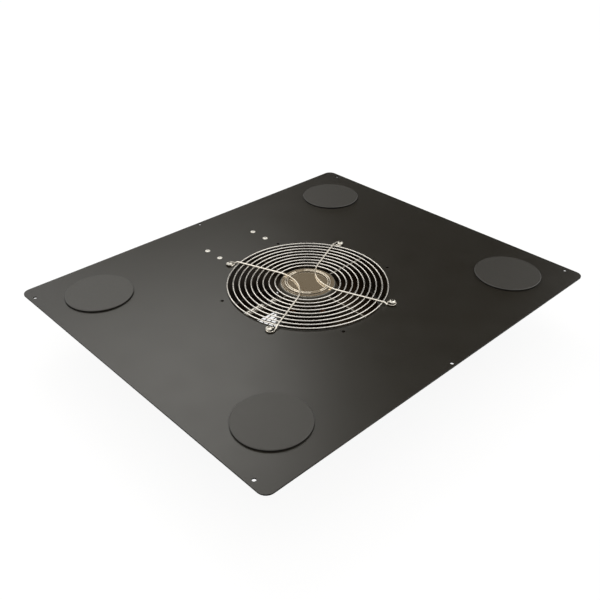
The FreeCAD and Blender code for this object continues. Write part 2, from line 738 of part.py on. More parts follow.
def support_wire(bisector):
    """One V-shaped support wire: two legs over the rings, each ending in an eye round its screw."""
    vertex_height = GUARD_RING_HEIGHT + RING_WIRE_RADIUS + SUPPORT_WIRE_RADIUS - GUARD_WELD_SINK
    vertex = polar(-SUPPORT_VERTEX, bisector, vertex_height)
    bend_a, landing_a, start_a, eye_a = support_half(bisector, 1.0, vertex)
    bend_b, landing_b, start_b, eye_b = support_half(bisector, -1.0, vertex)
    points = [start_a, landing_a, bend_a, vertex, bend_b, landing_b, start_b]
    radii = [LANDING_RADIUS, FOOT_BEND_RADIUS, SUPPORT_BEND_RADIUS, FOOT_BEND_RADIUS, LANDING_RADIUS]
    return [eye_a] + bent_run(points, radii) + [eye_b]


def finger_guard():
    """Concentric rings under two crossed-over V supports, as it lies on a face at height 0."""
    pieces = []
    for bisector in (SUPPORT_FIRST_BISECTOR, SUPPORT_FIRST_BISECTOR + 180.0):
        pieces.append(wire_solid(support_wire(bisector), SUPPORT_WIRE_RADIUS))
    for place in range(GUARD_RING_COUNT):
        radius = GUARD_RING_INNER + GUARD_RING_PITCH * place
        pieces.append(Part.makeTorus(radius, RING_WIRE_RADIUS, Vector(0, 0, GUARD_RING_HEIGHT)))
    for radius in GUARD_CENTRE_RINGS:
        pieces.append(Part.makeTorus(radius, RING_WIRE_RADIUS, Vector(0, 0, GUARD_CENTRE_RING_HEIGHT)))
    return pieces[0].multiFuse(pieces[1:])


def upper_guard(guard):
    """The guard on the panel."""
    placed = guard.copy()
    placed.translate(Vector(0, 0, PANEL_TOP))
    return placed


def lower_guard(guard):
    """The same guard under the fan's air inlet."""
    placed = guard.mirror(Vector(0, 0, 0), UP)
    placed.translate(Vector(0, 0, -FAN_DEPTH))
    return placed


def upper_guard_screws():
    """Screws down through the guard's eyes, the panel and the fan's flange."""
    seat = PANEL_TOP + 2 * SUPPORT_WIRE_RADIUS
    return Part.makeCompound([pan_head_screw(point, seat, seat + 11.0) for point in guard_screw_points()])


def upper_guard_nuts():
    """Nuts under the fan's upper flange."""
    low = -FLANGE_THICKNESS - NUT_HEIGHT
    return Part.makeCompound([guard_nut(point, low) for point in guard_screw_points()])


def lower_guard_screws():
    """Screws up through the lower guard's eyes and the fan's lower flange."""
    seat = -FAN_DEPTH - 2 * SUPPORT_WIRE_RADIUS
    length = 2 * SUPPORT_WIRE_RADIUS + 11.0
    screws = [pan_head_screw(point, seat, length, upward=False) for point in guard_screw_points()]
    return Part.makeCompound(screws)


def lower_guard_nuts():
    """Nuts on the fan's lower flange."""
    low = -FAN_DEPTH + FLANGE_THICKNESS
    return Part.makeCompound([guard_nut(point, low) for point in guard_screw_points()])


# ---------------------------------------------------------------- wiring box
def wiring_box():
    """The folded sheet box under the panel, open at the bottom, with entries for the leads and the cord."""
    half = BOX_LENGTH / 2
    outside = rounded_block(-half, half, BOX_FRONT_Y, BOX_BACK_Y, -BOX_DEPTH, 0, 3.0)
    inside = rounded_block(
        -half + BOX_SHEET,
        half - BOX_SHEET,
        BOX_FRONT_Y + BOX_SHEET,
        BOX_BACK_Y - BOX_SHEET,
        -BOX_DEPTH - 1,
        -BOX_SHEET,
        1.8,
    )
    rim_start = Vector(CORD_BUSHING_X, BOX_BACK_Y - 0.5, BOX_MIDDLE_Z)
    rim = Part.makeCylinder(BUSHING_STEM_RADIUS + 1.0, BOX_SHEET + 0.5, rim_start, Vector(0, -1, 0))
    body = outside.cut(inside).fuse(rim)
    holes = [round_bar(BOX_HOLE_RADIUS, -BOX_SHEET - 1, 1, point) for point in box_screw_points()]
    cord_start = Vector(CORD_BUSHING_X, BOX_BACK_Y + 1, BOX_MIDDLE_Z)
    holes.append(Part.makeCylinder(BUSHING_STEM_RADIUS, 4.0, cord_start, Vector(0, -1, 0)))
    lead_start = Vector(-half - 1, (BOX_FRONT_Y + BOX_BACK_Y) / 2, BOX_MIDDLE_Z)
    holes.append(Part.makeCylinder(BUSHING_STEM_RADIUS, 4.0, lead_start, Vector(1, 0, 0)))
    for x in (-half, half):
        inward = Vector(1, 0, 0) if x < 0 else Vector(-1, 0, 0)
        start = Vector(x, COVER_SCREW_Y, COVER_SCREW_Z)
        holes.append(Part.makeCylinder(BOX_HOLE_RADIUS, 3.0, start, inward))
    return body.cut(Part.makeCompound(holes)).removeSplitter()


def wiring_box_cover():
    """The folded cover that closes the box from below, with a lip over each end wall."""
    half = BOX_LENGTH / 2
    gap = 0.1
    lip = 12.0
    plate = rounded_block(
        -half - BOX_SHEET - gap,
        half + BOX_SHEET + gap,
        BOX_FRONT_Y,
        BOX_BACK_Y,
        -BOX_DEPTH - BOX_SHEET,
        -BOX_DEPTH,
        1.5,
    )
    pieces = [plate]
    for side in (-1.0, 1.0):
        near = side * (half + gap)
        far = side * (half + gap + BOX_SHEET)
        low_x, high_x = min(near, far), max(near, far)
        pieces.append(
            block(low_x, high_x, BOX_FRONT_Y + 2.0, BOX_BACK_Y - 2.0, -BOX_DEPTH - 0.6, -BOX_DEPTH + lip)
        )
    body = join(pieces)
    bore = Part.makeCylinder(
        BOX_HOLE_RADIUS, BOX_LENGTH + 20.0, Vector(-half - 10.0, COVER_SCREW_Y, COVER_SCREW_Z), Vector(1, 0, 0)
    )
    return body.cut(bore)


def small_screw(length):
    """A small button head screw that points down from height 0."""
    head = lathe([(0.0, 1.7), (1.8, 1.5), (2.9, 0.8), (3.2, 0.0), (0.0, 0.0)])
    slot = block(-1.5, 1.5, -0.3, 0.3, 0.9, 3.0)
    cross = slot.fuse(turned(slot, 90.0))
    return head.cut(cross).fuse(round_bar(1.6, -length, 0.4)).removeSplitter()


def wiring_box_screws():
    """The four small screws on the panel that hold the box."""
    screws = []
    for point in box_screw_points():
        screw = small_screw(PANEL_THICKNESS + 7.0)
        screw.translate(Vector(point.x, point.y, PANEL_TOP))
        screws.append(screw)
    return Part.makeCompound(screws)


def wiring_box_nuts():
    """The nuts of those screws inside the box."""
    nuts = []
    for point in box_screw_points():
        blank = hexagon(5.5, -BOX_SHEET - 2.4, -BOX_SHEET, point)
        nuts.append(blank.cut(round_bar(1.6 + RUNNING_CLEARANCE, -5.0, 0.0, point)))
    return Part.makeCompound(nuts)


def cover_screws():
    """The two screws through the cover's lips."""
    screws = []
    for side in (-1.0, 1.0):
        screw = small_screw(4.0)
        screw.rotate(Vector(0, 0, 0), Vector(0, 1, 0), 90.0 * side)
        seat = side * (BOX_LENGTH / 2 + 0.1 + BOX_SHEET)
        screw.translate(Vector(seat, COVER_SCREW_Y, COVER_SCREW_Z))
        screws.append(screw)
    return Part.makeCompound(screws)


def entry_bushing():
    """A snap bushing with its collar outside a wall at height 0 and its axis along +Z."""
    grip = BOX_SHEET
    length_in = 9.0
    return lathe([
        (CORD_BORE_RADIUS, 2.6),
        (BUSHING_COLLAR_RADIUS - 1.2, 2.6),
        (BUSHING_COLLAR_RADIUS, 1.2),
        (BUSHING_COLLAR_RADIUS, 0.0),
        (BUSHING_STEM_RADIUS, 0.0),
        (BUSHING_STEM_RADIUS, -grip - 0.3),
        (BUSHING_STEM_RADIUS - 0.1, -length_in),
        (CORD_BORE_RADIUS, -length_in),
    ])


def cord_bushing():
    """The supply cord's entry in the box's back wall."""
    bushing = entry_bushing()
    bushing.rotate(Vector(0, 0, 0), Vector(1, 0, 0), -90)
    bushing.translate(Vector(CORD_BUSHING_X, BOX_BACK_Y, BOX_MIDDLE_Z))
    return bushing


def fan_lead_bushing():
    """The fan leads' entry in the box's left end wall."""
    bushing = entry_bushing()
    bushing.rotate(Vector(0, 0, 0), Vector(0, 1, 0), -90)
    bushing.translate(Vector(-BOX_LENGTH / 2, (BOX_FRONT_Y + BOX_BACK_Y) / 2, BOX_MIDDLE_Z))
    return bushing


def run_capacitor():
    """The motor's run capacitor: a can with a rolled edge and two tab terminals."""
    tab_gap = 5.0
    can = lathe([
        (0.0, 0.0),
        (CAPACITOR_RADIUS - 1.0, 0.0),
        (CAPACITOR_RADIUS, 1.0),
        (CAPACITOR_RADIUS, CAPACITOR_LENGTH),
        (CAPACITOR_RADIUS - 1.0, CAPACITOR_LENGTH),
        (CAPACITOR_RADIUS - 1.5, CAPACITOR_LENGTH - 1.2),
        (0.0, CAPACITOR_LENGTH - 1.2),
    ])
    pieces = [can]
    for side in (-1.0, 1.0):
        low = side * tab_gap - 3.0
        pieces.append(block(low, low + 6.0, -0.4, 0.4, CAPACITOR_LENGTH - 2.0, CAPACITOR_LENGTH + 7.0))
    body = join(pieces)
    body.rotate(Vector(0, 0, 0), Vector(0, 1, 0), 90)
    body.translate(Vector(CAPACITOR_START_X, CAPACITOR_Y, CAPACITOR_Z))
    return body


def capacitor_clamp():
    """The strap that holds the capacitor to the box's top."""
    middle_x = CAPACITOR_START_X + CAPACITOR_LENGTH / 2
    half_width = 5.0
    sheet = 0.8
    fit = CAPACITOR_RADIUS + 0.05
    centre = Vector(middle_x - half_width, CAPACITOR_Y, CAPACITOR_Z)
    strap = Part.makeCylinder(fit + sheet, 2 * half_width, centre, Vector(1, 0, 0))
    side = fit + sheet
    legs = block(
        middle_x - half_width,
        middle_x + half_width,
        CAPACITOR_Y - side,
        CAPACITOR_Y + side,
        CAPACITOR_Z,
        -BOX_SHEET,
    )
    strap = strap.fuse(legs)
    strap = strap.cut(Part.makeCylinder(fit, 4 * half_width, centre - Vector(half_width, 0, 0), Vector(1, 0, 0)))
    room = block(
        middle_x - 2 * half_width,
        middle_x + 2 * half_width,
        CAPACITOR_Y - fit,
        CAPACITOR_Y + fit,
        CAPACITOR_Z,
        -BOX_SHEET + 1,
    )
    return strap.cut(room)


def terminal_block():
    """A three-way terminal strip on the box's top."""
    start_x = 18.0
    pitch = 9.0
    low_z = -BOX_SHEET - 14.0
    body = block(start_x, start_x + 3 * pitch, 160.0, 180.0, low_z, -BOX_SHEET)
    cuts = []
    for place in range(3):
        centre = Vector(start_x + pitch * (place + 0.5), 0, 0)
        for y in (165.0, 175.0):
            cuts.append(round_bar(2.6, low_z - 1, low_z + 5.0, Vector(centre.x, y, 0)))
    for place in (1, 2):
        x = start_x + pitch * place
        cuts.append(block(x - 0.6, x + 0.6, 159.0, 181.0, low_z - 1, low_z + 3.0))
    return body.cut(Part.makeCompound(cuts))


def earth_stud():
    """The earth stud on the box's top, with its nut."""
    point = Vector(8.0, 187.0, 0)
    stud = round_bar(2.0, -14.0, -BOX_SHEET, point)
    nut = hexagon(7.0, -6.0, -BOX_SHEET, point)
    return stud.fuse(nut).removeSplitter()


# ---------------------------------------------------------------- assembly
def all_nodes():
    """Every sub-part by its node's name."""
    guard = finger_guard()
    nodes = {
        "top_panel": top_panel(),
        "fan_housing": fan_housing(),
        "motor_cap": motor_cap(),
        "stator_core": stator_core(),
        "stator_windings": stator_windings(),
        "upper_bearing": sealed_bearing(UPPER_BEARING_TOP),
        "lower_bearing": sealed_bearing(LOWER_BEARING_TOP),
        "rotor_shaft": rotor_shaft(),
        "shaft_clip": shaft_clip(),
        "preload_washer": preload_washer(),
        "rotor_shell": rotor_shell(),
        "rotor_cage": rotor_cage(),
        "impeller": impeller(),
        "motor_leads": motor_leads(),
        "lead_bushing": lead_bushing(),
        "upper_guard": upper_guard(guard),
        "lower_guard": lower_guard(guard),
        "upper_guard_screws": upper_guard_screws(),
        "upper_guard_nuts": upper_guard_nuts(),
        "lower_guard_screws": lower_guard_screws(),
        "lower_guard_nuts": lower_guard_nuts(),
        "wiring_box": wiring_box(),
        "wiring_box_cover": wiring_box_cover(),
        "wiring_box_screws": wiring_box_screws(),
        "wiring_box_nuts": wiring_box_nuts(),
        "cover_screws": cover_screws(),
        "cord_bushing": cord_bushing(),
        "fan_lead_bushing": fan_lead_bushing(),
        "run_capacitor": run_capacitor(),
        "capacitor_clamp": capacitor_clamp(),
        "terminal_block": terminal_block(),
        "earth_stud": earth_stud(),
    }
    for place, point in cable_hole_points().items():
        nodes["cable_hole_plug_" + place] = cable_hole_plug(point)
    return nodes


os.makedirs("parts", exist_ok=True)
for name, shape in all_nodes().items():
    shape.exportStep(os.path.join("parts", name + ".step"))
    print(name, len(shape.Solids), round(shape.Volume), shape.isValid())
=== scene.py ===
"""Looks of the rack top fan panel: finishes, screw threads and flanges, floor, light and camera.

Metres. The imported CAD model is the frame, and everything here is placed from it.
"""
import bpy
import json
import math
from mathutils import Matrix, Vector


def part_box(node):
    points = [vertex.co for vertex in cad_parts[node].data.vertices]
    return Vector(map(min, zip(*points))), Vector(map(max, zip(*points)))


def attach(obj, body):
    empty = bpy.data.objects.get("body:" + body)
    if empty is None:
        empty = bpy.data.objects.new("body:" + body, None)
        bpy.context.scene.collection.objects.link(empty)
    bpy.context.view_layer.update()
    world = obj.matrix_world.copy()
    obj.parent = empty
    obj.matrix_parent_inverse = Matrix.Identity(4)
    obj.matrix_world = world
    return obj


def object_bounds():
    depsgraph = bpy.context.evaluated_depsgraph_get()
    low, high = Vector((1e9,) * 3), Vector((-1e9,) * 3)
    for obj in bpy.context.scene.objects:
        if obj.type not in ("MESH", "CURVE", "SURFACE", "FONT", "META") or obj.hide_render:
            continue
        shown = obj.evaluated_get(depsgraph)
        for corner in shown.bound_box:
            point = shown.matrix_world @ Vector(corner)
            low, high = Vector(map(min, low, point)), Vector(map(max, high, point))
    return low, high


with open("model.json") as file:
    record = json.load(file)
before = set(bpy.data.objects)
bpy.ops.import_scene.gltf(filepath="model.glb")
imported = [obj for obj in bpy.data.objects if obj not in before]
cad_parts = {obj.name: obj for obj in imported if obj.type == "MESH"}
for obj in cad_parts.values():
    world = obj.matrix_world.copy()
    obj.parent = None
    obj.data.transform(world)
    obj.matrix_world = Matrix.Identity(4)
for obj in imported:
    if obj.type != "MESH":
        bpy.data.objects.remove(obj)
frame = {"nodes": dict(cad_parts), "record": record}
cad_low, cad_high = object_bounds()

# ---------------------------------------------------------------- named values
MILLIMETRE = 0.001

# Heights, radii and spans on the CAD pieces, used to give single faces their own finish.
SLACK = 0.05 * MILLIMETRE
HUB_RADIUS = 46.0 * MILLIMETRE
CAP_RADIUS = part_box("motor_cap")[1].x
STRUT_TOP = -1.0 * MILLIMETRE
STRUT_HALF_WIDTH = 1.2 * MILLIMETRE
TROUGH_END_X = -83.0 * MILLIMETRE
TROUGH_LIP_Y = (10.3 * MILLIMETRE, 11.3 * MILLIMETRE)
SADDLE_X = (-68.0 * MILLIMETRE, -62.5 * MILLIMETRE)
LEAD_GAP_Y = 6.7 * MILLIMETRE
RING_TOP = 5.72 * MILLIMETRE
OUTER_RING_RADIUS = 124.5 * MILLIMETRE
EYE_START_RADIUS = 131.0 * MILLIMETRE
CENTRE_RING_RADII = (30.3 * MILLIMETRE, 35.4 * MILLIMETRE)
SHADED_STRETCH_TURNS = (math.radians(56), math.radians(81))
GUARD_SCREW_RECESS_DEPTH = 1.8 * MILLIMETRE
BOX_SCREW_RECESS_DEPTH = 0.8 * MILLIMETRE

# How much a face looks up, as the z part of its normal: 1 where it is level and 0 where it is upright.
SIDE_MOST = 0.4
CAP_SHOULDER_MOST = 0.9995
RING_SIDE_MOST = 0.5
EYE_SIDE_MOST = 0.85
TROUGH_LIP_LEAST = 0.9
RECESS_WALL_MOST = 0.01

SCREW_SHANK_RADIUS = 2.4 * MILLIMETRE
SCREW_PITCH = 0.8 * MILLIMETRE
SCREW_SPACE = 12.0 * MILLIMETRE

FLOOR_SIDE = 40.0
FLOOR_GAP = 0.2 * MILLIMETRE

# Azimuths run from +X towards +Y, in degrees.
CAMERA_AZIMUTH = -133.46
CAMERA_ELEVATION = 32.98
CAMERA_DISTANCE = 1.1139
CAMERA_AIM = Vector((-0.04052, -0.02553, 0.002))
CAMERA_LENS = 45.0
SENSOR_WIDTH = 36.0

WHITE = (1.0, 1.0, 1.0, 1.0)
SKY_LIGHT = (0.80, 0.79, 0.77, 1.0)
WARM_SHEEN = (1.0, 0.78, 0.5, 1.0)


# ---------------------------------------------------------------- materials
def add_node(tree, kind, **settings):
    """A new shader node with its settings."""
    made = tree.nodes.new(kind)
    for key, value in settings.items():
        setattr(made, key, value)
    return made


class Look:
    """A material being built: a Principled shader and the nodes that feed it."""

    def __init__(self, name, color, roughness, metallic=0.0, specular=0.5):
        self.material = bpy.data.materials.new(name)
        self.material.use_nodes = True
        self.tree = self.material.node_tree
        self.shader = self.tree.nodes["Principled BSDF"]
        self.color = color
        self.shader.inputs["Base Color"].default_value = (*color, 1.0)
        self.shader.inputs["Roughness"].default_value = roughness
        self.shader.inputs["Metallic"].default_value = metallic
        self.shader.inputs["Specular IOR Level"].default_value = specular
        self.place = self.node("ShaderNodeTexCoord").outputs["Object"]

    def node(self, kind, **settings):
        return add_node(self.tree, kind, **settings)

    def link(self, output, target):
        self.tree.links.new(output, target)

    def noise(self, size, detail=2.0, place=None):
        """Noise whose features are about size metres across, from 0 to 1."""
        made = self.node("ShaderNodeTexNoise")
        made.inputs["Scale"].default_value = 1.0 / size
        made.inputs["Detail"].default_value = detail
        self.link(place or self.place, made.inputs["Vector"])
        return made.outputs["Fac"]

    def spread(self, value, low, high):
        """The value's middle range stretched to run from low to high."""
        made = self.node("ShaderNodeMapRange")
        made.inputs["From Min"].default_value = 0.3
        made.inputs["From Max"].default_value = 0.7
        made.inputs["To Min"].default_value = low
        made.inputs["To Max"].default_value = high
        self.link(value, made.inputs["Value"])
        return made.outputs["Result"]

    def math(self, operation, first, second):
        """One arithmetic step. Each of first and second is a socket or a number."""
        made = self.node("ShaderNodeMath", operation=operation)
        for socket, value in zip(made.inputs, (first, second)):
            if isinstance(value, (int, float)):
                socket.default_value = value
            else:
                self.link(value, socket)
        return made.outputs["Value"]

    def tint(self, amount, dark, light):
        """Colour varies between the base colour times dark and times light."""
        made = self.node("ShaderNodeMix", data_type="RGBA")
        made.inputs["A"].default_value = (*[part * dark for part in self.color], 1.0)
        made.inputs["B"].default_value = (*[part * light for part in self.color], 1.0)
        self.link(amount, made.inputs["Factor"])
        self.link(made.outputs["Result"], self.shader.inputs["Base Color"])

    def gloss(self, amount, low, high):
        """Roughness varies between low and high."""
        self.link(self.spread(amount, low, high), self.shader.inputs["Roughness"])

    def relief(self, height, depth, edge=0.0):
        """Bumps of that depth, over edges rounded by the radius edge. Both are in metres."""
        bump = self.node("ShaderNodeBump")
        bump.inputs["Distance"].default_value = depth
        self.link(height, bump.inputs["Height"])
        if edge:
            bevel = self.node("ShaderNodeBevel", samples=4)
            bevel.inputs["Radius"].default_value = edge
            self.link(bevel.outputs["Normal"], bump.inputs["Normal"])
        self.link(bump.outputs["Normal"], self.shader.inputs["Normal"])

    def axis(self, name):
        """One coordinate of the point, in metres."""
        made = self.node("ShaderNodeSeparateXYZ")
        self.link(self.place, made.inputs["Vector"])
        return made.outputs[name]

    def distance_from_axis(self):
        """How far the point is from the fan's axis, in metres."""
        squares = [self.math("POWER", self.axis(name), 2.0) for name in ("X", "Y")]
        return self.math("SQRT", self.math("ADD", squares[0], squares[1]), 0.0)

    def bands(self, coordinate, pitch):
        """Fine uneven bands along a coordinate, about one for each pitch."""
        combine = self.node("ShaderNodeCombineXYZ")
        self.link(coordinate, combine.inputs["X"])
        return self.noise(pitch, 3.0, combine.outputs["Vector"])


def powder_coat():
    """Satin black powder coat with a fine texture."""
    look = Look("powder_coat", (0.0152, 0.0122, 0.0066), 0.345)
    look.tint(look.noise(0.09, 4.0), 0.92, 1.08)
    look.gloss(look.noise(0.05, 3.0), 0.33, 0.36)
    look.relief(look.noise(0.0022, 2.0), 0.00001, 0.0005)
    return look.material


def powder_coat_edge_shade():
    """The same coat on the sheet's cut edges, duller and with little gloss, as painted shade."""
    look = Look("powder_coat_edge_shade", (0.014, 0.013, 0.011), 0.6, specular=0.12)
    look.relief(look.noise(0.0012, 3.0), 0.00008)
    return look.material


def plug_top():
    """Fine-textured black moulding."""
    look = Look("plug_moulding", (0.0325, 0.0295, 0.0235), 0.45)
    look.tint(look.noise(0.03, 3.0), 0.95, 1.05)
    look.gloss(look.noise(0.004, 2.0), 0.43, 0.47)
    look.relief(look.noise(0.0007, 3.0), 0.00002, 0.0003)
    return look.material


def plug_edge_shade():
    """The plug's side walls, darker and duller than its top, as painted shade."""
    look = Look("plug_moulding_edge_shade", (0.010, 0.009, 0.008), 0.5, specular=0.15)
    look.relief(look.noise(0.001, 2.0), 0.00003)
    return look.material


def cast_paint(name, color, roughness, specular=0.5):
    """Paint on metal whose rough skin shows as a soft grain. The same look also gives painted shade and
    painted highlights on single faces.
    """
    look = Look(name, color, roughness, specular=specular)
    look.shader.inputs["Specular Tint"].default_value = WARM_SHEEN
    look.tint(look.noise(0.02, 3.0), 0.85, 1.15)
    look.gloss(look.noise(0.008, 3.0), roughness - 0.04, roughness + 0.06)
    look.relief(look.noise(0.0015, 3.0), 0.00006, 0.0004)
    return look.material


def blade_paint_and_warm_light():
    """Brown-black paint on the blades: black paint whose brown tint is a painted warm reflection."""
    look = Look("blade_paint_and_warm_light", (0.015, 0.0085, 0.0045), 0.38, specular=0.15)
    look.shader.inputs["Specular Tint"].default_value = WARM_SHEEN
    look.tint(look.noise(0.03, 3.0), 0.85, 1.2)
    look.gloss(look.noise(0.01, 3.0), 0.34, 0.44)
    look.relief(look.noise(0.003, 2.0), 0.00004, 0.0003)
    return look.material


def bright_wire(name, color, metallic=0.82):
    """A smooth bright wire: nickel-chrome plate, or the glossy sheath of a lead."""
    look = Look(name, color, 0.22, metallic=metallic)
    look.gloss(look.noise(0.006, 3.0), 0.18, 0.28)
    look.relief(look.noise(0.0008, 2.0), 0.00001)
    return look.material


def turned_cap():
    """Polished metal turned on a lathe, with rings too fine to count."""
    look = Look("turned_cap", (0.97, 0.90, 0.79), 0.06, metallic=0.88)
    rings = look.bands(look.distance_from_axis(), 0.0006)
    look.tint(rings, 0.985, 1.015)
    look.gloss(look.noise(0.02, 3.0), 0.055, 0.07)
    look.relief(look.noise(0.03, 2.0), 0.000002, 0.0004)
    return look.material


def plated(name, color, roughness, metallic=1.0):
    """Plate on a small fastener, bright where it is all metal and satin where it isn't."""
    look = Look(name, color, roughness, metallic=metallic)
    look.tint(look.noise(0.002, 3.0), 0.9, 1.1)
    look.gloss(look.noise(0.003, 3.0), roughness - 0.05, roughness + 0.08)
    look.relief(look.noise(0.0006, 2.0), 0.00001, 0.0002)
    return look.material


def laminations():
    """Stacked thin steel sheets seen edge on."""
    look = Look("laminations", (0.34, 0.34, 0.35), 0.45, metallic=1.0)
    sheets = look.bands(look.axis("Z"), 0.0008)
    look.tint(sheets, 0.55, 1.15)
    look.relief(sheets, 0.00008)
    return look.material


def enamelled_copper():
    """Wound wire: fine turns under a clear enamel."""
    look = Look("enamelled_copper", (0.56, 0.20, 0.075), 0.3, metallic=1.0)
    turns = look.bands(look.axis("Z"), 0.0009)
    look.tint(turns, 0.6, 1.2)
    look.relief(turns, 0.0002, 0.0004)
    look.shader.inputs["Coat Weight"].default_value = 0.6
    look.shader.inputs["Coat Roughness"].default_value = 0.15
    return look.material


def ground_steel():
    """Ground bearing and shaft steel."""
    look = Look("ground_steel", (0.56, 0.56, 0.57), 0.24, metallic=1.0)
    look.gloss(look.bands(look.axis("Z"), 0.0004), 0.18, 0.32)
    look.relief(look.noise(0.001, 2.0), 0.000004, 0.0002)
    return look.material


def galvanised_sheet():
    """Zinc-coated sheet with its crystal spangle."""
    look = Look("galvanised_sheet", (0.52, 0.53, 0.54), 0.4, metallic=1.0)
    spangle = look.node("ShaderNodeTexVoronoi")
    spangle.inputs["Scale"].default_value = 1.0 / 0.006
    look.link(look.place, spangle.inputs["Vector"])
    grey = look.node("ShaderNodeRGBToBW")
    look.link(spangle.outputs["Color"], grey.inputs["Color"])
    look.tint(grey.outputs["Val"], 0.78, 1.12)
    look.gloss(grey.outputs["Val"], 0.32, 0.48)
    look.relief(look.noise(0.002, 2.0), 0.00001, 0.0004)
    return look.material


def drawn_can():
    """A drawn aluminium can, faintly uneven."""
    look = Look("drawn_can", (0.74, 0.75, 0.76), 0.3, metallic=1.0)
    look.gloss(look.noise(0.004, 3.0), 0.24, 0.36)
    look.relief(look.noise(0.0015, 2.0), 0.000008, 0.0003)
    return look.material


def moulding(name, color, roughness, texture):
    """A plain skin: moulded plastic or rubber, and the dark matte painted shade on the motor cap's rounded
    edge and on the leads nearer the hub.
    """
    look = Look(name, color, roughness)
    look.tint(look.noise(0.01, 3.0), 0.94, 1.06)
    look.gloss(look.noise(0.003, 2.0), roughness - 0.04, roughness + 0.06)
    look.relief(look.noise(texture, 2.0), texture * 0.04, 0.0003)
    return look.material


# The finish of each material slot.
FINISHES = {
    "panel_powder_coat": powder_coat,
    "plug_plastic": plug_top,
    "cast_black": lambda: cast_paint("cast_paint", (0.020, 0.0145, 0.009), 0.46, 0.25),
    "rotor_black": lambda: cast_paint("rotor_paint", (0.014, 0.013, 0.012), 0.38),
    "blade_black": blade_paint_and_warm_light,
    "guard_wire": lambda: bright_wire("bright_wire", (0.67, 0.64, 0.59)),
    "cap_metal": turned_cap,
    "screw_nickel": lambda: plated("nickel_plate", (0.66, 0.63, 0.56), 0.28, 0.85),
    "zinc_steel": lambda: plated("zinc_plate", (0.62, 0.63, 0.64), 0.32),
    "earth_brass": lambda: plated("turned_brass", (0.72, 0.52, 0.22), 0.28),
    "lamination": laminations,
    "copper": enamelled_copper,
    "bearing_steel": ground_steel,
    "box_sheet": galvanised_sheet,
    "capacitor_can": drawn_can,
    "lead_insulation": lambda: bright_wire("lead_insulation", (0.93, 0.90, 0.82), 0.6),
    "bushing_rubber": lambda: moulding("bushing_rubber", (0.018, 0.018, 0.018), 0.7, 0.0008),
    "bushing_nylon": lambda: moulding("bushing_nylon", (0.022, 0.022, 0.022), 0.45, 0.001),
    "terminal_plastic": lambda: moulding("terminal_plastic", (0.72, 0.70, 0.62), 0.4, 0.001),
}


def dress_nodes():
    """Gives each CAD node the finish of its slot, and returns the finishes by slot."""
    finishes = {slot: make() for slot, make in FINISHES.items()}
    for row in frame["record"]["subparts"]:
        mesh = frame["nodes"][row["node"]].data
        mesh.materials.clear()
        mesh.materials.append(finishes[row["material_slot"]])
    return finishes


def dress_faces(node, finish, chosen):
    """Gives the faces of a node that chosen(centre, normal) picks their own finish."""
    mesh = frame["nodes"][node].data
    mesh.materials.append(finish)
    newest = len(mesh.materials) - 1
    for face in mesh.polygons:
        if chosen(face.center, face.normal):
            face.material_index = newest


def from_axis(centre):
    """How far a point is from the fan's axis."""
    return math.hypot(centre.x, centre.y)


def is_side(centre, normal):
    """An upright face."""
    return abs(normal.z) < SIDE_MOST


def is_shoulder(centre, normal):
    """A face that turns away from level."""
    return normal.z < CAP_SHOULDER_MOST


def is_over_cap(centre, normal):
    """The part of the guard over the motor cap."""
    return from_axis(centre) < CAP_RADIUS


def is_support_leg(centre, normal):
    """The V-shaped support wires, above and outside the rings, off the motor cap."""
    outside = from_axis(centre) > OUTER_RING_RADIUS
    return (centre.z > RING_TOP or outside) and not is_over_cap(centre, normal)


def is_centre_ring(centre, normal):
    """The two guard rings over the motor cap, and the support wires where they cross them."""
    return CENTRE_RING_RADII[0] < from_axis(centre) < CENTRE_RING_RADII[1]


def is_shaded_stretch(centre, normal):
    """Two opposite stretches of the centre rings, darkened as painted shade."""
    turn = math.atan2(centre.y, centre.x) % math.pi
    return is_centre_ring(centre, normal) and SHADED_STRETCH_TURNS[0] < turn < SHADED_STRETCH_TURNS[1]


def is_ring_underside(centre, normal):
    """The sides and underside of the centre rings, darkened as painted shade."""
    return is_centre_ring(centre, normal) and normal.z < RING_SIDE_MOST


def is_eye_underside(centre, normal):
    """The sides and underside of the eyes round the guard screws, darkened as painted shade."""
    return from_axis(centre) > EYE_START_RADIUS and normal.z < EYE_SIDE_MOST


def is_strut_top(centre):
    """The top edge of a strut."""
    narrow = min(abs(centre.x), abs(centre.y)) < STRUT_HALF_WIDTH
    level = abs(centre.z - STRUT_TOP) < SLACK
    return level and narrow and from_axis(centre) > HUB_RADIUS


def is_highlit_strut(centre, normal):
    """The top edges of the front and right struts, which get a painted highlight."""
    return is_strut_top(centre) and (centre.x > STRUT_HALF_WIDTH or centre.y < -STRUT_HALF_WIDTH)


def is_left_strut(centre, normal):
    """The top edge of the left strut, beside the trough, which gets a fainter painted highlight."""
    return is_strut_top(centre) and centre.x < -STRUT_HALF_WIDTH


def is_trough_lip(centre, normal):
    """The outer lip of the leads' trough, which gets a painted highlight."""
    beside_leads = centre.x < TROUGH_END_X and TROUGH_LIP_Y[0] < centre.y < TROUGH_LIP_Y[1]
    return beside_leads and normal.z > TROUGH_LIP_LEAST


def is_shaded_lead(centre, normal):
    """The part of a motor lead coloured near-black as painted shade: nearer the hub than the trough, except
    at the saddle.
    """
    return centre.x > TROUGH_END_X and not SADDLE_X[0] < centre.x < SADDLE_X[1]


def is_second_lead(centre, normal):
    """The part of the motor lead nearer the strut that is outside the painted shade."""
    return centre.y < LEAD_GAP_Y and not is_shaded_lead(centre, normal)


def dress_recess(node, depth, finish):
    """Gives the cross recess of upright screws its own finish. Depth counts from the top of the heads."""
    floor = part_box(node)[1].z - depth

    def in_recess(centre, normal):
        wall_or_floor = abs(normal.z) < RECESS_WALL_MOST or centre.z < floor + SLACK
        return centre.z > floor - SLACK and wall_or_floor

    dress_faces(node, finish, in_recess)


